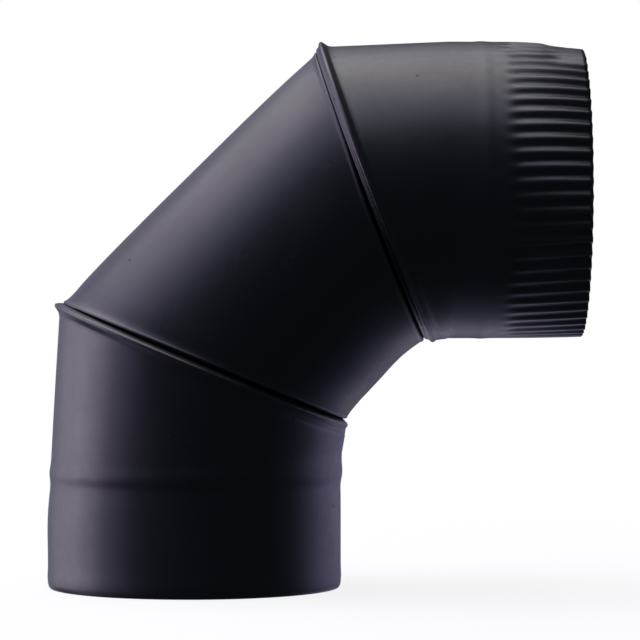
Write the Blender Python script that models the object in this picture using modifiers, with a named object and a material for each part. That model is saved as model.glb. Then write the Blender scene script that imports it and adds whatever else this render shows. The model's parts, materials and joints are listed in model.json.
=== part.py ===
"""Adjustable 90 degree flue elbow for 6 in single-wall black stove pipe.

Three sheet-steel gores, joined by two rolled swivel seams. The elbow stands on its
plain (female) end, its outlet (crimped, male) points to +X, and the plane that it
bends in is XZ. Units are metres, +Z is up.

At each seam the end gore's edge is rolled into a hollow bead, a channel that is open
inwards, and the middle gore's edge is turned out into a flange that runs inside the
bead. Bead and flange are turned about the seam's normal, so the gores swivel there.
"""
import math

import bmesh
import bpy
from mathutils import Matrix, Vector

# Sheet
WALL = 0.0006                 # 24 gauge sheet
SIDES = 48                    # facets round the plain and the middle gore
SHARP_ANGLE = math.radians(50)
PAINT_COLOUR = (0.012, 0.011, 0.014, 1.0)
PAINT_ROUGHNESS = 0.45

# Plain (female) end
PLAIN_RADIUS = 0.0770         # outside
BARREL_TOP = 0.0405           # height at which the wall starts to lean to the seam
BARREL_LEAN = 0.024           # for each such height above that, the section moves
BARREL_SHIFT = 0.0010         # this much towards the throat, loses this much half width
BARREL_NARROW = 0.0005        # in the elbow's plane, and gains this much across it
BARREL_DEEPEN = 0.0011
EDGE_HEIGHT = 0.0045          # the rim is eased inwards over this height
EDGE_TURN = 0.0012            # and by this much
EDGE_FLAT = 0.0006            # the last of each rim runs straight, so its face is flat

# Crimped (male) end
OUTLET_HEIGHT = 0.2089        # outlet axis above the plain rim
OUTLET_REACH = 0.2036         # crimped rim from the plain end's axis
BODY_RADIUS = 0.0780          # outside, before the crimps
BODY_LENGTH = 0.0700          # from the crimped rim to where the wall starts to lean
BODY_LEAN = 0.060             # for each such length beyond that, as for the barrel
BODY_SHIFT = 0.0012
BODY_NARROW = 0.0010
BODY_DEEPEN = 0.0015
CRIMP_COUNT = 64
CRIMP_LENGTH = 0.0405
CRIMP_LEAD = 0.003            # the body's last round section, before the crimps
CRIMP_START = 0.88            # of the crimps' length, where the first valleys are
CRIMP_DEPTH = 0.0021          # at the rim
CRIMP_LEAST = 0.35            # share of the depth that the crimps start with
CRIMP_SHRINK = 0.0022         # loss of crest radius at the rim
CRIMP_SAG = 0.0015            # the crimped rim sits this much below the outlet axis

# Stiffening ridges pressed round the two end gores
RIDGE_HEIGHT = 0.0005
RIDGE_WIDTH = 0.0120
PLAIN_RIDGE = 0.0583          # from the plain rim
CRIMPED_RIDGE = 0.0531        # from the crimped rim

# Frame: the origin is below the middle of the elbow's box
PLAIN_AXIS = Vector(((PLAIN_RADIUS - OUTLET_REACH) / 2, 0.0, 0.0))
OUTLET_END = PLAIN_AXIS + Vector((OUTLET_REACH, 0.0, OUTLET_HEIGHT))

X, Y, Z = Vector((1, 0, 0)), Vector((0, 1, 0)), Vector((0, 0, 1))
MIDDLE_DIRECTION = (X + Z).normalized()


class Seam:
    """A swivel seam: a round ring whose normal points into its end gore."""

    def __init__(self, centre, radius, normal, throat, lip, gap):
        self.centre = centre      # on the elbow's plane
        self.radius = radius
        self.normal = normal
        self.throat = throat      # unit vector across the ring to the inside of the bend
        self.depth = normal.cross(throat)
        if self.depth.y < 0:
            self.depth.negate()
        self.lip = lip            # where the bead's lip ends, along the normal
        self.gap = gap            # from the lip back to the middle gore's edge


def seam_axes(normal, lean):
    """Lean a normal that lies in the elbow's plane towards -Y, about the ring's throat line."""
    throat = Y.cross(normal).normalized()
    if throat.dot(X - Z) < 0:
        throat.negate()
    return Matrix.Rotation(lean, 3, throat) @ normal, throat


LOWER_TILT = math.radians(22.5)     # ring plane from the horizontal
UPPER_TILT = math.radians(20.6)     # ring plane from the vertical
UPPER_LEAN = math.radians(3.3)      # the upper ring is turned slightly out of the plane

lower_normal, lower_throat = seam_axes(
    Vector((-math.sin(LOWER_TILT), 0, -math.cos(LOWER_TILT))), 0.0)
upper_normal, upper_throat = seam_axes(
    Vector((math.cos(UPPER_TILT), 0, math.sin(UPPER_TILT))), UPPER_LEAN)

LOWER_SEAM = Seam(centre=PLAIN_AXIS + Vector((0.0041, 0, 0.1179)), radius=0.0805,
                  normal=lower_normal, throat=lower_throat, lip=-0.0012, gap=0.0016)
UPPER_SEAM = Seam(centre=PLAIN_AXIS + Vector((0.0950, 0, 0.2074)), radius=0.0815,
                  normal=upper_normal, throat=upper_throat, lip=-0.0024, gap=0.0013)

# Bead and flange: (along the normal, out from the seam's radius), outside faces
BEAD_CREST = ((0.0002, 0.0022), (0.0014, 0.0028), (0.0028, 0.0020), (0.0036, 0.0009))
LIP_DROP = 0.0012             # the lip reaches this far inside the seam's radius
SHOULDER = 0.0048             # where the end gore's wall leaves the bead
END_WALL_RISE = 0.0007        # end gore's wall, outside the seam's radius
MIDDLE_WALL_DROP = 0.0009     # middle gore's wall, inside the seam's radius
GROOVE_DROP = 0.0023          # floor of the middle gore's groove, under the lip
GROOVE_CORNER = 0.0008        # the groove's corners are cut off by this much
FLANGE_PLACE = 0.0011
FLANGE_RISE = 0.0013
FLANGE_ROOT = 0.0014          # where the flange meets the groove's corner

# The middle gore's wall bows towards the heel: share of its length, share of the bow
MIDDLE_BULGE = 0.0015
MIDDLE_BOW = ((0.12, 0.55), (0.50, 1.00), (0.88, 0.55))


def ring(bm, centre, across, depth, in_plane, out_of_plane, sides):
    """One open ring of the loft, with its half widths across and along the depth."""
    frame = Matrix.Identity(4)
    frame.col[0] = (*(across * in_plane), 0)
    frame.col[1] = (*(depth * out_of_plane), 0)
    frame.col[2] = (*across.cross(depth), 0)
    frame.translation = centre
    made = bmesh.ops.create_circle(bm, segments=sides, radius=1.0, matrix=frame)
    return made["verts"]


def skin(bm, rings):
    """Join each ring to the next, which has as many corners or twice as many."""
    for near, far in zip(rings, rings[1:]):
        step = len(far) // len(near)
        for i, corner in enumerate(near):
            beyond = near[(i + 1) % len(near)]
            facing = [far[(i * step + s) % len(far)] for s in range(step, -1, -1)]
            bm.faces.new((corner, beyond, *facing))


def turned_rings(bm, seam, profile, sides):
    """Rings turned about the seam's normal."""
    return [ring(bm, seam.centre + seam.normal * along, seam.throat, seam.depth,
                 seam.radius + out, seam.radius + out, sides)
            for along, out in profile]


def wall_ring(bm, seam, along, out, direction, sides):
    """The pipe's section parallel to the seam: round, and moved along the pipe's axis."""
    centre = seam.centre + direction * (along / direction.dot(seam.normal))
    return ring(bm, centre, seam.throat, seam.depth,
                seam.radius + out, seam.radius + out, sides)


def bead_rings(bm, seam, direction, sides):
    """An end gore's bead, from its lip over the crest to the shoulder."""
    profile = ((seam.lip, -LIP_DROP), *BEAD_CREST)
    rings = turned_rings(bm, seam, profile, sides)
    rings.append(wall_ring(bm, seam, SHOULDER, END_WALL_RISE, direction, sides))
    return rings


def flange_rings(bm, seam, sides):
    """The middle gore's edge: flange, groove floor, groove side and rolled corner."""
    edge = seam.lip - seam.gap
    profile = ((FLANGE_PLACE, FLANGE_RISE), (FLANGE_PLACE, -FLANGE_ROOT),
               (FLANGE_PLACE - GROOVE_CORNER, -GROOVE_DROP),
               (edge + GROOVE_CORNER, -GROOVE_DROP))
    rings = turned_rings(bm, seam, profile, sides)
    rings.append(wall_ring(bm, seam, edge, -MIDDLE_WALL_DROP, MIDDLE_DIRECTION, sides))
    return rings


def between(bm, first, last, share, move, sides):
    """A ring part of the way between two others, moved bodily."""
    made = ring(bm, Vector(), X, Y, 1.0, 1.0, sides)
    for vert, a, b in zip(made, first, last):
        vert.co = a.co.lerp(b.co, share) + move
    return made


def gore(name, bm, origin, collection):
    """Turn an outside surface into a sheet-steel gore with its origin at a joint."""
    bmesh.ops.translate(bm, verts=bm.verts, vec=-origin)
    mesh = bpy.data.meshes.new(name)
    bm.to_mesh(mesh)
    bm.free()
    mesh.shade_smooth()
    mesh.set_sharp_from_angle(angle=SHARP_ANGLE)
    part = bpy.data.objects.new(name, mesh)
    part.location = origin
    collection.objects.link(part)
    wall = part.modifiers.new("wall", 'SOLIDIFY')
    wall.thickness = WALL
    wall.offset = -1.0
    wall.use_even_offset = True
    wall.use_quality_normals = True
    part.data.materials.append(stove_paint(name + "_paint"))
    return part


def stove_paint(name):
    """Matt black high-temperature paint on steel."""
    material = bpy.data.materials.new(name)
    material.use_nodes = True
    shader = material.node_tree.nodes["Principled BSDF"]
    shader.inputs["Base Color"].default_value = PAINT_COLOUR
    shader.inputs["Roughness"].default_value = PAINT_ROUGHNESS
    shader.inputs["Metallic"].default_value = 0.0
    return material


def plain_end_gore(collection):
    """Female end: eased rim, straight barrel, pressed ridge, then the wall to the bead."""
    bm = bmesh.new()

    def station(height, grow=0.0):
        lean = max(0.0, (height - BARREL_TOP) / BARREL_LEAN)
        return ring(bm, PLAIN_AXIS + Vector((BARREL_SHIFT * lean, 0, height)), X, Y,
                    PLAIN_RADIUS - BARREL_NARROW * lean + grow,
                    PLAIN_RADIUS + BARREL_DEEPEN * lean + grow, SIDES)

    rings = [station(0.0, -EDGE_TURN), station(EDGE_FLAT, -EDGE_TURN),
             station(EDGE_HEIGHT / 2, -EDGE_TURN / 3),
             station(EDGE_HEIGHT), station(BARREL_TOP),
             station(PLAIN_RIDGE - RIDGE_WIDTH / 2),
             station(PLAIN_RIDGE, RIDGE_HEIGHT),
             station(PLAIN_RIDGE + RIDGE_WIDTH / 2)]
    rings += reversed(bead_rings(bm, LOWER_SEAM, Z, SIDES))
    skin(bm, rings)
    return gore("plain_end_gore", bm, PLAIN_AXIS, collection)


def middle_gore(collection):
    """45 degree gore with an outward flange at each end."""
    bm = bmesh.new()
    lower = flange_rings(bm, LOWER_SEAM, SIDES)
    upper = flange_rings(bm, UPPER_SEAM, SIDES)
    heel = (Z - X).normalized()
    wall = [between(bm, lower[-1], upper[-1], share, heel * MIDDLE_BULGE * bow, SIDES)
            for share, bow in MIDDLE_BOW]
    skin(bm, [*lower, *wall, *reversed(upper)])
    return gore("middle_gore", bm, LOWER_SEAM.centre, collection)


def crimped_end_gore(collection):
    """Male end: the wall from the bead, pressed ridge, then the crimped spigot."""
    bm = bmesh.new()

    def station(from_rim, grow=0.0):
        lean = max(0.0, (from_rim - BODY_LENGTH) / BODY_LEAN)
        return ring(bm, OUTLET_END - X * from_rim - Z * BODY_SHIFT * lean, -Z, Y,
                    BODY_RADIUS - BODY_NARROW * lean + grow,
                    BODY_RADIUS + BODY_DEEPEN * lean + grow, CRIMP_COUNT)

    def crimped(from_rim):
        done = 1.0 - max(from_rim, EDGE_FLAT) / CRIMP_LENGTH
        crest = BODY_RADIUS - CRIMP_SHRINK * done ** 2
        centre = OUTLET_END - X * from_rim - Z * CRIMP_SAG * done ** 2
        made = ring(bm, centre, -Z, Y, crest, crest, 2 * CRIMP_COUNT)
        depth = CRIMP_DEPTH * min(1.0, CRIMP_LEAST + done)
        for vert in made[1::2]:
            vert.co += (centre - vert.co).normalized() * depth
        return made

    rings = bead_rings(bm, UPPER_SEAM, X, CRIMP_COUNT)
    rings += [station(BODY_LENGTH), station(CRIMPED_RIDGE + RIDGE_WIDTH / 2),
              station(CRIMPED_RIDGE, RIDGE_HEIGHT),
              station(CRIMPED_RIDGE - RIDGE_WIDTH / 2), station(CRIMP_LENGTH + CRIMP_LEAD)]
    rings += [crimped(CRIMP_LENGTH * CRIMP_START), crimped(CRIMP_LENGTH / 2),
              crimped(EDGE_FLAT), crimped(0.0)]
    skin(bm, rings)
    return gore("crimped_end_gore", bm, UPPER_SEAM.centre, collection)


def build():
    for thing in list(bpy.data.objects):
        bpy.data.objects.remove(thing, do_unlink=True)
    collection = bpy.data.collections.new("flue_elbow")
    bpy.context.scene.collection.children.link(collection)
    plain_end_gore(collection)
    middle_gore(collection)
    crimped_end_gore(collection)


build()
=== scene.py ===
import json
import math

import bmesh
import bpy
from mathutils import Matrix, Vector, noise


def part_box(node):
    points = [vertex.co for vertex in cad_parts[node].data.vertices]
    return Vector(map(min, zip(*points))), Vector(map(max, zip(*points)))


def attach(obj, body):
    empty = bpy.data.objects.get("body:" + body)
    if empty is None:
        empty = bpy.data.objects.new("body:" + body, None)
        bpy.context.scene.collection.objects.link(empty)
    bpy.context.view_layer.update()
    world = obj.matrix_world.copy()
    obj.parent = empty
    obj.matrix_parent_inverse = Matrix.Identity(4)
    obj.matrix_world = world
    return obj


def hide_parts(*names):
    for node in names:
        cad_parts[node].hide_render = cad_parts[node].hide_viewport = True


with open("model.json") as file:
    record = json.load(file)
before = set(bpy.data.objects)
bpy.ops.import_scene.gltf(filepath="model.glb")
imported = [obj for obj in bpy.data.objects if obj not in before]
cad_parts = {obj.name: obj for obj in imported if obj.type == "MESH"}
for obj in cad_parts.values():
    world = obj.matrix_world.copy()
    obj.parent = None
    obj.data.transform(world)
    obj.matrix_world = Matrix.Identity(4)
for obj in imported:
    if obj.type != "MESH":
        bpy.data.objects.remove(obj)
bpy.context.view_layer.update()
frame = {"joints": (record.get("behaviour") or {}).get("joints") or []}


# ---------------------------------------------------------------- Camera
# The elbow stands on its plain end and is seen square to the plane of its bend, from
# far enough away that the rims are only slightly open.

VIEW_DISTANCE = 1.586
VIEW_POINT = Vector((0.0028, 0.0, 0.1405))
LENS = 169.3

camera_data = bpy.data.cameras.new("camera")
camera_data.lens = LENS
camera_data.sensor_width = 36.0
camera_data.clip_start = 0.05
camera_data.clip_end = 40.0
camera = bpy.data.objects.new("camera", camera_data)
camera.location = VIEW_POINT - Vector((0, VIEW_DISTANCE, 0))
camera.rotation_euler = (math.radians(90), 0, 0)
bpy.context.scene.collection.objects.link(camera)
bpy.context.scene.camera = camera


# ---------------------------------------------------------------- Plain end gore
# The female end: 24 gauge steel rolled into a tube and seam-welded lengthwise. Its rim is
# eased inwards, a low ridge is pressed round it, and its slanted upper edge is rolled
# into a hollow bead that is open inwards.

SHEET = 0.0006
X, Y, Z = Vector((1, 0, 0)), Vector((0, 1, 0)), Vector((0, 0, 1))

swivels = {j["name"]: j for j in frame["joints"]}


class Ring:
    """A swivel seam's ring: its axis points away from the middle gore."""

    def __init__(self, joint, outward, radius, lip, gap, heel_shut, shut_from):
        self.centre = Vector(joint["pos_m"])
        self.axis = Vector(joint["axis"]).normalized() * outward
        bend_normal = Y - self.axis * self.axis.dot(Y)
        self.depth = bend_normal.normalized()
        throat = self.depth.cross(self.axis)
        self.throat = throat if throat.dot(X - Z) > 0 else -throat
        self.radius = radius
        self.lip = lip
        self.gap = gap
        self.heel_shut = heel_shut
        self.shut_from = shut_from

    def turned(self, along, out):
        """Station of a shape turned about the ring's axis."""
        return station(self.centre + self.axis * along, self.throat, self.depth,
                       self.radius + out, self.radius + out)

    def pipe(self, along, out, direction):
        """Station where a pipe that runs in a direction is cut parallel to the ring."""
        centre = self.centre + direction * (along / direction.dot(self.axis))
        return station(centre, self.throat, self.depth, self.radius + out, self.radius + out)

    def on_crest(self, point):
        """How near a point is to the top of the bead, from 0 to 1."""
        arm = point - self.centre
        along = arm.dot(self.axis)
        out = (arm - self.axis * along).length - self.radius
        return smooth_step(0.0018, 0.0028, out) * smooth_step(0.0040, 0.0025, abs(along))


def station(centre, across, depth, half_across, half_depth):
    """A hoop's centre and its two half widths as vectors."""
    return [centre.copy(), across * half_across, depth * half_depth]


def hoop_gap(a, b):
    """Mean distance between two stations, over four points of the hoop."""
    total = 0.0
    for c, s in ((1, 0), (0, 1), (-1, 0), (0, -1)):
        total += ((a[0] - b[0]) + (a[1] - b[1]) * c + (a[2] - b[2]) * s).length
    return total / 4


def flow(keys, finest, straight=None):
    """Stations on a smooth curve through the keys, with a step for each span; one is straight."""
    gaps = [max(hoop_gap(a, b), 1e-6) for a, b in zip(keys, keys[1:])]
    slopes = []
    for i in range(len(keys)):
        before = [(keys[i][k] - keys[i - 1][k]) / gaps[i - 1] for k in range(3)] if i else None
        after = ([(keys[i + 1][k] - keys[i][k]) / gaps[i] for k in range(3)]
                 if i < len(gaps) else None)
        if before and after:
            share = gaps[i - 1] / (gaps[i - 1] + gaps[i])
            slopes.append([before[k].lerp(after[k], share) for k in range(3)])
        else:
            slopes.append(before or after)
    stations = []
    for i, gap in enumerate(gaps):
        steps = max(1, round(gap / finest[min(i, len(finest) - 1)]))
        for step in range(steps):
            t = step / steps
            if i == straight:
                stations.append([a.lerp(b, t) for a, b in zip(keys[i], keys[i + 1])])
                continue
            parts = []
            for k in range(3):
                parts.append(keys[i][k] * (2 * t ** 3 - 3 * t ** 2 + 1)
                             + slopes[i][k] * gap * (t ** 3 - 2 * t ** 2 + t)
                             + keys[i + 1][k] * (3 * t ** 2 - 2 * t ** 3)
                             + slopes[i + 1][k] * gap * (t ** 3 - t ** 2))
            stations.append(parts)
    stations.append(keys[-1])
    return stations


def roll(stations, corners):
    """Roll a tube: a circle laid on the first station, then drawn out along the rest."""
    bm = bmesh.new()
    turn = bm.verts.layers.float.new("turn")
    row = bm.verts.layers.float.new("row")
    made = bmesh.ops.create_circle(bm, segments=corners, radius=1.0)
    hoop = made["verts"]
    for v in hoop:
        v[turn] = math.atan2(v.co.y, v.co.x)
    edges = list(bm.edges)
    for number, (centre, across, depth) in enumerate(stations):
        if number:
            made = bmesh.ops.extrude_edge_only(bm, edges=edges)["geom"]
            hoop = [g for g in made if isinstance(g, bmesh.types.BMVert)]
            new = set(hoop)
            edges = [g for g in made if isinstance(g, bmesh.types.BMEdge)
                     and g.verts[0] in new and g.verts[1] in new]
        for v in hoop:
            v.co = centre + across * math.cos(v[turn]) + depth * math.sin(v[turn])
            v[row] = number
    return bm, turn, row


def face_out(bm, corners, wall_row, inside):
    """Turn the whole skin over if a face of the plain wall looks at a point inside it."""
    bm.faces.ensure_lookup_table()
    bm.normal_update()
    sample = bm.faces[corners * wall_row]
    if sample.normal.dot(sample.calc_center_median() - inside) < 0:
        bmesh.ops.reverse_faces(bm, faces=bm.faces)
    bm.normal_update()


def smooth_step(low, high, value):
    """Ease from 0 to 1 as a value goes from low to high."""
    t = min(1.0, max(0.0, (value - low) / (high - low)))
    return t * t * (3 - 2 * t)


def turn_apart(a, b):
    """Signed angle from b to a."""
    return (a - b + math.pi) % (2 * math.pi) - math.pi


LAP_WIDTH = 0.0125
WANDER = 0.00018
WANDER_SCALE = 14
SEAM_CLEAR = (0.0045, 0.0110)


def weather(bm, turn, lap_turn, radius, lap_height, seed, rings):
    """Raise the lengthwise lap and put the wall out of true; rings stay true to swivel."""
    moves = {}
    for v in bm.verts:
        aside = turn_apart(v[turn], lap_turn) * radius
        lap = smooth_step(-LAP_WIDTH, -0.0005, aside) * (1 - smooth_step(0.0, 0.0012, aside))
        wander = noise.noise(v.co * WANDER_SCALE + Vector((seed, 0, 0))) * WANDER
        clear = min(smooth_step(*SEAM_CLEAR, abs((v.co - ring.centre).dot(ring.axis)))
                    for ring in rings)
        moves[v] = v.normal * (lap * lap_height + wander) * clear
    for v, move in moves.items():
        v.co += move
    bm.normal_update()


def wear(bm, amount):
    """Mark where handling and the neighbouring pipes have rubbed the paint."""
    rub = bm.verts.layers.float.new("rub")
    for v in bm.verts:
        patchy = 0.5 + 0.8 * noise.noise(v.co * 90 + Vector((5, 0, 0)))
        v[rub] = min(1.0, max(0.0, amount(v) * patchy))


def sheet_piece(node, bm, body, material):
    """Give a gore's skin its wall, and let it stand for the CAD node."""
    name = node + "_sheet"
    mesh = bpy.data.meshes.new(name)
    bm.to_mesh(mesh)
    bm.free()
    mesh.shade_smooth()
    mesh.materials.append(material)
    piece = bpy.data.objects.new(name, mesh)
    bpy.context.scene.collection.objects.link(piece)
    wall = piece.modifiers.new("sheet", 'SOLIDIFY')
    wall.thickness = SHEET
    wall.offset = -1.0
    wall.use_quality_normals = True
    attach(piece, body)
    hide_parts(node)


def finish_group():
    """Sprayed matt paint: cloudy gloss, fine grain, a few nibs, and rubbed high spots."""
    group = bpy.data.node_groups.new("sprayed_finish", 'ShaderNodeTree')
    face = group.interface
    for label, kind, value in (("Tone", 'NodeSocketColor', (0.006, 0.0056, 0.008, 1)),
                               ("Rubbed Tone", 'NodeSocketColor', (0.02, 0.019, 0.023, 1)),
                               ("Gloss", 'NodeSocketFloat', 0.4),
                               ("Grain", 'NodeSocketFloat', 0.3),
                               ("Rub", 'NodeSocketFloat', 0.0)):
        socket = face.new_socket(name=label, in_out='INPUT', socket_type=kind)
        socket.default_value = value
    face.new_socket(name="Color", in_out='OUTPUT', socket_type='NodeSocketColor')
    face.new_socket(name="Roughness", in_out='OUTPUT', socket_type='NodeSocketFloat')
    face.new_socket(name="Normal", in_out='OUTPUT', socket_type='NodeSocketVector')

    nodes, links = group.nodes, group.links
    given = nodes.new('NodeGroupInput')
    made = nodes.new('NodeGroupOutput')
    place = nodes.new('ShaderNodeTexCoord').outputs["Object"]

    def cloud(scale, detail, roughness=0.55):
        node = nodes.new('ShaderNodeTexNoise')
        node.inputs["Scale"].default_value = scale
        node.inputs["Detail"].default_value = detail
        node.inputs["Roughness"].default_value = roughness
        links.new(place, node.inputs["Vector"])
        return node.outputs["Fac"]

    def ramp(value, low, high, out_low, out_high):
        node = nodes.new('ShaderNodeMapRange')
        for label, number in (("From Min", low), ("From Max", high),
                              ("To Min", out_low), ("To Max", out_high)):
            node.inputs[label].default_value = number
        links.new(value, node.inputs["Value"])
        return node.outputs["Result"]

    def calc(operation, a, b):
        node = nodes.new('ShaderNodeMath')
        node.operation = operation
        for socket, value in zip(node.inputs, (a, b)):
            if isinstance(value, (int, float)):
                socket.default_value = value
            else:
                links.new(value, socket)
        return node.outputs[0]

    passes = cloud(22, 3)
    mist = cloud(260, 4)
    grain = cloud(2600, 3, 0.7)
    nibs = nodes.new('ShaderNodeTexVoronoi')
    nibs.inputs["Scale"].default_value = 95
    links.new(place, nibs.inputs["Vector"])
    rare = nodes.new('ShaderNodeSeparateColor')
    links.new(nibs.outputs["Color"], rare.inputs[0])
    chosen = ramp(rare.outputs[0], 0.95, 0.96, 0.0, 1.0)
    dot = calc('MULTIPLY', ramp(nibs.outputs["Distance"], 0.05, 0.10, 1.0, 0.0), chosen)

    # gloss
    base = calc('ADD', given.outputs["Gloss"], ramp(passes, 0.3, 0.7, -0.035, 0.035))
    base = calc('ADD', base, ramp(mist, 0.3, 0.7, -0.03, 0.03))
    worn = calc('SUBTRACT', base, calc('MULTIPLY', given.outputs["Rub"], 0.08))
    links.new(calc('ADD', worn, calc('MULTIPLY', dot, 0.5)), made.inputs["Roughness"])

    # colour
    mix = nodes.new('ShaderNodeMix')
    mix.data_type = 'RGBA'
    share = calc('MULTIPLY', given.outputs["Rub"], ramp(mist, 0.35, 0.65, 0.2, 0.8))
    links.new(share, mix.inputs["Factor"])
    links.new(given.outputs["Tone"], mix.inputs[6])
    links.new(given.outputs["Rubbed Tone"], mix.inputs[7])
    links.new(mix.outputs[2], made.inputs["Color"])

    # relief
    height = calc('MULTIPLY', grain, given.outputs["Grain"])
    height = calc('ADD', height, calc('MULTIPLY', mist, 0.6))
    height = calc('SUBTRACT', height, calc('MULTIPLY', dot, 4.0))
    bump = nodes.new('ShaderNodeBump')
    bump.inputs["Strength"].default_value = 0.25
    bump.inputs["Distance"].default_value = 0.00006
    links.new(height, bump.inputs["Height"])
    links.new(bump.outputs["Normal"], made.inputs["Normal"])
    return group


SPRAYED = finish_group()


def stove_paint(name):
    """Matt black high-temperature stove paint, with the rub attribute as its wear."""
    material = bpy.data.materials.new(name)
    material.use_nodes = True
    nodes, links = material.node_tree.nodes, material.node_tree.links
    shader = nodes["Principled BSDF"]
    finish = nodes.new('ShaderNodeGroup')
    finish.node_tree = SPRAYED
    finish.inputs["Tone"].default_value = (0.0062, 0.0058, 0.0082, 1)
    rub = nodes.new('ShaderNodeAttribute')
    rub.attribute_name = "rub"
    links.new(rub.outputs["Fac"], finish.inputs["Rub"])
    links.new(finish.outputs["Color"], shader.inputs["Base Color"])
    links.new(finish.outputs["Roughness"], shader.inputs["Roughness"])
    links.new(finish.outputs["Normal"], shader.inputs["Normal"])
    shader.inputs["IOR"].default_value = 1.5
    return material


LOWER = Ring(swivels["lower_swivel"], -1, radius=0.0805, lip=-0.0012, gap=0.0016,
             heel_shut=0.85, shut_from=(0.87, 0.97))
PLAIN_RADIUS = 0.0770
PLAIN_TRUE_TO = 0.0405
PLAIN_LEAN_LENGTH = 0.024
PLAIN_AXIS = Vector((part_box("plain_end_gore")[0].x + PLAIN_RADIUS, 0, 0))

BEAD = ((-0.45, 1.0), (0.1, 2.1), (0.6, 2.68), (1.2, 2.9), (1.85, 2.72), (2.6, 2.15),
        (3.4, 1.6), (4.3, 1.15), (5.3, 0.92))


def bead_keys(ring, direction):
    """From the lip over the turned crest, then down the back as it runs into the pipe."""
    keys = [ring.turned(ring.lip, -0.0012), ring.turned(ring.lip + 0.0002, -0.0004)]
    for along, out in BEAD:
        crest = ring.turned(along / 1000, out / 1000)
        back = ring.pipe(along / 1000, out / 1000, direction)
        drawn = smooth_step(1.0, 4.6, along)
        keys.append([a.lerp(b, drawn) for a, b in zip(crest, back)])
    keys += [ring.pipe(0.0060, 0.0008, direction), ring.pipe(0.0068, 0.0008, direction)]
    return keys


def plain_station(height, grow=0.0):
    """Hoop of the plain end, which leans and widens a little above its true stretch."""
    lean = max(0.0, (height - PLAIN_TRUE_TO) / PLAIN_LEAN_LENGTH)
    return station(PLAIN_AXIS + Vector((0.0010 * lean, 0, height)), X, Y,
                   PLAIN_RADIUS - 0.0005 * lean + grow, PLAIN_RADIUS + 0.0011 * lean + grow)


# profiles: millimetres along and out
RIM = ((0.0, -1.3), (0.3, -1.0), (1.2, -0.4), (3.2, 0.0), (12.0, 0.0))
BARREL_RIDGE = ((-12.0, -0.20), (-9.0, -0.33), (-7.0, -0.36), (-5.4, -0.27), (-3.8, -0.05),
                (-2.2, 0.22), (-0.9, 0.40), (0.2, 0.45), (1.6, 0.40), (3.2, 0.25), (5.0, 0.09),
                (7.2, 0.0))

BARREL_RIDGE_HEIGHT = 0.0605
PLAIN_TOP = 0.0705
FINE_STEP = 0.0004
RIDGE_STEP = 0.0009
WALL_STEP = 0.004
STRAIGHT_STEP = 0.005
HOOP_CORNERS = 256
FLOOR_CLEARANCE = 0.00005

keys = [plain_station(height / 1000, out / 1000) for height, out in RIM]
keys += [plain_station(PLAIN_TRUE_TO)]
keys += [plain_station(BARREL_RIDGE_HEIGHT + z / 1000, out / 1000) for z, out in BARREL_RIDGE]
keys += [plain_station(PLAIN_TOP)]
spans = [FINE_STEP, 0.0006, 0.0009, 0.003, WALL_STEP, WALL_STEP]
spans += [RIDGE_STEP] * len(BARREL_RIDGE) + [STRAIGHT_STEP, FINE_STEP]
wall_span = len(keys) - 1
keys += reversed(bead_keys(LOWER, Z))
bm, turn, row = roll(flow(keys, spans, wall_span), HOOP_CORNERS)
face_out(bm, HOOP_CORNERS, wall_row=6, inside=PLAIN_AXIS + Z * 0.03)
weather(bm, turn, lap_turn=math.radians(150), radius=PLAIN_RADIUS, lap_height=0.00028, seed=3.0,
        rings=[LOWER])
for v in bm.verts:
    v.co.z = max(v.co.z, FLOOR_CLEARANCE)
wear(bm, lambda v: max(LOWER.on_crest(v.co), smooth_step(0.0025, 0.0, v.co.z)))
sheet_piece("plain_end_gore", bm, "plain_end", stove_paint("plain_end_paint"))


# ---------------------------------------------------------------- Middle gore
# A 45 degree tube with an outward flange at each edge. The flange runs inside the
# neighbour's bead, and a groove before it leaves the dark gap that shows at each seam.

UPPER = Ring(swivels["upper_swivel"], 1, radius=0.0815, lip=-0.0024, gap=0.0013,
             heel_shut=0.85, shut_from=(0.45, 0.70))
UPHILL = (X + Z).normalized()
HEEL = (Z - X).normalized()
BOW = 0.0015
DIP = 0.0013
THROAT_SHUT = 0.7
GAP_FADE = (0.0045, 0.0125)


def flange_keys(ring):
    edge = ring.lip - ring.gap
    flange = 0.0011
    keys = [ring.turned(along, out) for along, out in (
        (flange, 0.0013), (flange, -0.0004), (flange, -0.0022), (flange - 0.0002, -0.0030),
        (flange - 0.0008, -0.0035), (flange - 0.0014, -0.0036), (edge + 0.0014, -0.0036),
        (edge + 0.0008, -0.0033), (edge + 0.0005, -0.0026))]
    keys += [ring.pipe(edge + along, out, UPHILL) for along, out in (
        (0.0002, -0.0010), (-0.0003, -0.0003), (-0.0009, -0.0001), (-0.0018, -0.0005),
        (-0.0030, -0.0008))]
    return keys


def bowed(first, last, share):
    """A station part of the way up the tube, which bows towards the heel."""
    parts = [a.lerp(b, share) for a, b in zip(first, last)]
    parts[0] = parts[0] + HEEL * BOW * (1 - (2 * share - 1) ** 4)
    return parts


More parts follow.
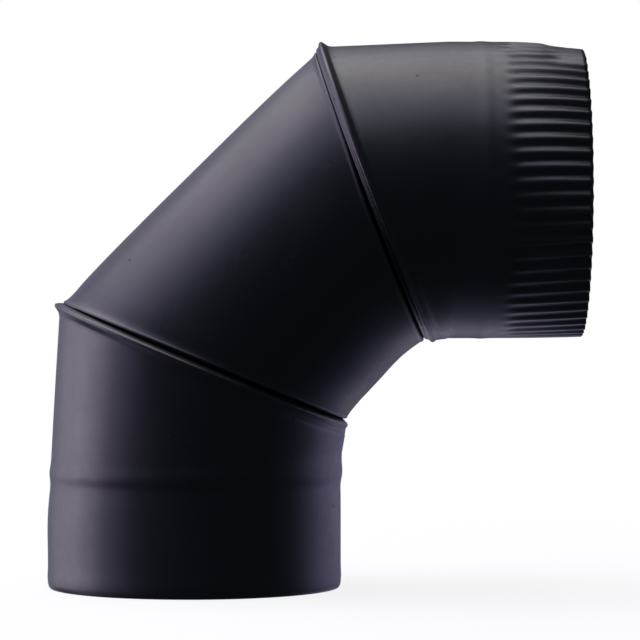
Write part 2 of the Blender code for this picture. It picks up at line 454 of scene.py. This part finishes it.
lower_keys, upper_keys = flange_keys(LOWER), flange_keys(UPPER)
tube = [bowed(lower_keys[-1], upper_keys[-1], s) for s in (0.06, 0.15, 0.3, 0.5, 0.7, 0.85, 0.94)]
keys = [*lower_keys, *tube, *reversed(upper_keys)]
spans = [FINE_STEP] * len(lower_keys) + [STRAIGHT_STEP] * len(tube) + [FINE_STEP]
bm, turn, row = roll(flow(keys, spans), HOOP_CORNERS)
face_out(bm, HOOP_CORNERS, wall_row=30, inside=(LOWER.centre + UPPER.centre) / 2)
for v in bm.verts:
    below = (LOWER.centre - v.co).dot(LOWER.axis)
    above = (UPPER.centre - v.co).dot(UPPER.axis)
    share = below / (below + above)
    in_line = math.cos(v[turn]) ** 2
    for ring, depth in ((LOWER, below), (UPPER, above)):
        close = smooth_step(0.0003, ring.gap - ring.lip, depth)
        close *= 1 - smooth_step(*GAP_FADE, depth)
        heelward = 0.5 - 0.5 * math.cos(v[turn])
        shut = ring.heel_shut * smooth_step(*ring.shut_from, heelward)
        reach = ring.gap * max(THROAT_SHUT * in_line, shut) * close
        v.co += UPHILL * (reach / UPHILL.dot(ring.axis))
    dip = smooth_step(0.30, 0.75, share) * (1 - smooth_step(0.90, 0.99, share))
    v.co += HEEL * (DIP * dip * in_line * (math.cos(v[turn]) > 0))
bm.normal_update()
weather(bm, turn, lap_turn=math.radians(40), radius=0.08, lap_height=0.00028, seed=11.0,
        rings=[LOWER, UPPER])
wear(bm, lambda v: max(smooth_step(0.0008, 0.0, abs((v.co - ring.centre).dot(ring.axis)
                                                    - ring.lip + ring.gap + 0.0006))
                       for ring in (LOWER, UPPER)))
sheet_piece("middle_gore", bm, "middle", stove_paint("middle_paint"))


# ---------------------------------------------------------------- Crimped end gore
# The male end, which slides into the next pipe. A crimping wheel has gathered its last
# 40 mm into narrow lengthwise pleats, deepest at the rim, and a ridge is pressed round
# it as a stop. Its slanted edge carries the second hollow bead.

CRIMPS = 64
CORNERS_PER_CRIMP = 10
CRIMP_LENGTH = 0.0405
CRIMP_ROWS = 22
CRIMP_SLANT = math.radians(-1.85)
CRIMP_DEPTH = 0.00090
CRIMP_DEEPENS = 0.0011
PRESSED_TURN = math.radians(197)
OUTLET_HEIGHT = 0.2089
OUTLET_RADIUS = 0.0780
RIDGE = ((-6.0, 0.0), (-4.4, 0.04), (-2.5, 0.17), (0.0, 0.28), (2.5, 0.17), (4.4, 0.04), (6.0, 0.0))
RIDGE_FROM_RIM = 0.0531
OUTLET_END = Vector((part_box("crimped_end_gore")[1].x, 0, OUTLET_HEIGHT))


def outlet_station(from_rim, grow=0.0):
    """Hoop of the outlet, drawn in and drooping where it is crimped."""
    lean = max(0.0, (from_rim - 0.070) / 0.060)
    done = max(0.0, 1 - from_rim / CRIMP_LENGTH)
    crest = OUTLET_RADIUS - 0.0022 * done ** 2 + grow
    centre = OUTLET_END - X * from_rim - Z * (0.0012 * lean + 0.0015 * done ** 2)
    return station(centre, -Z, Y, crest - 0.0010 * lean, crest + 0.0015 * lean)


keys = bead_keys(UPPER, X)
wall_span = len(keys) - 1
spans = [FINE_STEP] * wall_span + [0.006, WALL_STEP] + [0.0016] * len(RIDGE)
keys += [outlet_station(0.0700), outlet_station(0.0620)]
keys += [outlet_station(RIDGE_FROM_RIM - x / 1000, out / 1000) for x, out in RIDGE]
body = flow(keys, spans, wall_span)
first_crimp_row = len(body)
for i in range(1, CRIMP_ROWS + 1):
    body.append(outlet_station((CRIMP_LENGTH + 0.0055) * (1 - i / CRIMP_ROWS)))
bm, turn, row = roll(body, CRIMPS * CORNERS_PER_CRIMP)
face_out(bm, CRIMPS * CORNERS_PER_CRIMP, wall_row=20, inside=OUTLET_END - X * 0.06)
weather(bm, turn, lap_turn=math.radians(209), radius=OUTLET_RADIUS, lap_height=0.00022,
        seed=23.0, rings=[UPPER])

for v in bm.verts:
    from_rim = OUTLET_END.x - v.co.x
    if v[row] < first_crimp_row - 2:
        continue
    centre = Vector((v.co.x, 0, OUTLET_END.z))
    inwards = (centre - v.co).normalized()
    valley = 0.5 - 0.5 * math.cos(CRIMPS * v[turn])
    start = smooth_step(CRIMP_LENGTH + 0.0040, CRIMP_LENGTH - 0.0050, from_rim)
    depth = (CRIMP_DEPTH + CRIMP_DEEPENS * (1 - from_rim / CRIMP_LENGTH)) * start
    uneven = 1 + 0.12 * noise.noise(Vector((v[turn] * 9, 2.0, 0)))
    uneven -= 0.30 * smooth_step(0.45, 0.95, math.cos(v[turn]))
    aside = math.degrees(turn_apart(v[turn], PRESSED_TURN))
    pressed = smooth_step(-19, -13, aside) * smooth_step(19, 14, aside)
    pressed *= smooth_step(0.0230, 0.0130, from_rim)
    depth *= uneven * (1 - 0.95 * pressed)
    sunk = 0.0012 * pressed * (0.2 + 0.8 * min(1.0, from_rim / 0.014))
    v.co += inwards * (depth * valley + sunk)
    slant = Matrix.Rotation(CRIMP_SLANT * (1 - from_rim / CRIMP_LENGTH) * start, 3, X)
    v.co = centre + slant @ (v.co - centre)
    if from_rim < 0.002:
        v.co.x -= 0.0001 * valley + 0.00015 * noise.noise(Vector((v[turn] * 14, 7.0, 0)))
bm.normal_update()
wear(bm, lambda v: max(UPPER.on_crest(v.co), smooth_step(0.0025, 0.0, OUTLET_END.x - v.co.x),
                       0.6 * smooth_step(0.035, 0.02, OUTLET_END.x - v.co.x)
                       * (0.5 + 0.5 * math.cos(CRIMPS * v[turn])) ** 3))
sheet_piece("crimped_end_gore", bm, "crimped_end", stove_paint("crimped_end_paint"))


# ---------------------------------------------------------------- Studio
# A pale floor that runs out into a white room, and a wall of soft lights beside, above
# and behind the elbow, so that its sides catch them and its front stays black.

bm = bmesh.new()
bmesh.ops.create_circle(bm, cap_ends=True, segments=96, radius=6.0)
mesh = bpy.data.meshes.new("floor")
bm.to_mesh(mesh)
bm.free()
floor = bpy.data.objects.new("floor", mesh)
bpy.context.scene.collection.objects.link(floor)
floor.visible_glossy = False
floor.visible_diffuse = False
floor.visible_shadow = False

floor_material = bpy.data.materials.new("pale_floor")
floor_material.use_nodes = True
nodes, links = floor_material.node_tree.nodes, floor_material.node_tree.links
matt = nodes["Principled BSDF"]
matt.inputs["Base Color"].default_value = (0.9, 0.9, 0.9, 1)
matt.inputs["Roughness"].default_value = 0.9
matt.inputs["Specular IOR Level"].default_value = 0.0
white = nodes.new('ShaderNodeEmission')
place = nodes.new('ShaderNodeTexCoord')
reach = nodes.new('ShaderNodeVectorMath')
reach.operation = 'LENGTH'
fade = nodes.new('ShaderNodeMapRange')
fade.interpolation_type = 'SMOOTHSTEP'
fade.inputs["From Min"].default_value = 0.20
fade.inputs["From Max"].default_value = 0.75
fade.inputs["To Min"].default_value = 0.86
mix = nodes.new('ShaderNodeMixShader')
links.new(place.outputs["Object"], reach.inputs[0])
links.new(reach.outputs["Value"], fade.inputs["Value"])
links.new(fade.outputs["Result"], mix.inputs[0])
links.new(matt.outputs[0], mix.inputs[1])
links.new(white.outputs[0], mix.inputs[2])
links.new(mix.outputs[0], nodes["Material Output"].inputs["Surface"])
mesh.materials.append(floor_material)

# Each row: the angle round the line of sight from the right, the angle away from the
# camera, and the radiance. The radiances were solved for by a fitting program, not set by
# hand, apart from a few rows.
SOFTBOXES = (
    (330, 120, (0.21, 0.20, 0.39)), (300, 140, (0.49, 0.44, 0.58)), (270, 110, (0.15, 0.14, 0.26)),
    (270, 135, (0.28, 0.27, 0.42)), (240, 148, (0.60, 0.60, 0.70)),
    (210, 100, (0.45, 0.40, 0.58)), (180, 70, (0.51, 0.50, 0.87)),
    (180, 95, (2.54, 2.16, 2.74)), (180, 120, (1.29, 1.18, 1.46)), (180, 148, (0.24, 0.25, 0.35)),
    (150, 70, (0.56, 0.55, 0.81)), (150, 95, (1.27, 1.18, 1.70)), (150, 120, (0.74, 0.67, 0.97)),
    (120, 70, (0.69, 0.72, 1.17)), (120, 95, (2.71, 2.46, 2.89)), (120, 120, (1.58, 1.54, 1.54)),
    (120, 148, (0.26, 0.24, 0.35)), (90, 70, (1.44, 1.46, 1.90)), (90, 95, (2.32, 2.21, 2.28)),
    (90, 120, (1.62, 1.61, 1.77)), (0, 110, (0.32, 0.30, 0.57)), (0, 130, (0.45, 0.40, 0.58)),
    (0, 155, (0.27, 0.26, 0.44)))
BOX_SIDE = 0.95
BOX_DISTANCE = 1.8
LIT_CENTRE = Vector((0, 0, 0.15))

for number, (round_sight, from_camera, radiance) in enumerate(SOFTBOXES):
    around, away = math.radians(round_sight), math.radians(from_camera)
    direction = Vector((math.sin(away) * math.cos(around), -math.cos(away),
                        math.sin(away) * math.sin(around)))
    data = bpy.data.lights.new(f"softbox_{number}", 'AREA')
    data.size = BOX_SIDE
    data.color = [channel / max(radiance) for channel in radiance]
    data.energy = 4 * max(radiance) * BOX_SIDE ** 2
    light = bpy.data.objects.new(data.name, data)
    light.location = LIT_CENTRE + direction * BOX_DISTANCE
    light.rotation_euler = (-direction).to_track_quat('-Z', 'Y').to_euler()
    light.visible_camera = False
    bpy.context.scene.collection.objects.link(light)

world = bpy.data.worlds.new("studio")
world.use_nodes = True
bpy.context.scene.world = world
nodes, links = world.node_tree.nodes, world.node_tree.links
room = nodes["Background"]
room.inputs["Color"].default_value = (1, 1, 1, 1)
dim = nodes.new('ShaderNodeBackground')
dim.inputs["Color"].default_value = (0.048, 0.058, 0.077, 1)
seen = nodes.new('ShaderNodeLightPath')
mix = nodes.new('ShaderNodeMixShader')
links.new(seen.outputs["Is Camera Ray"], mix.inputs[0])
links.new(dim.outputs[0], mix.inputs[1])
links.new(room.outputs[0], mix.inputs[2])
links.new(mix.outputs[0], nodes["World Output"].inputs["Surface"])

bpy.context.scene.view_settings.view_transform = 'Standard'
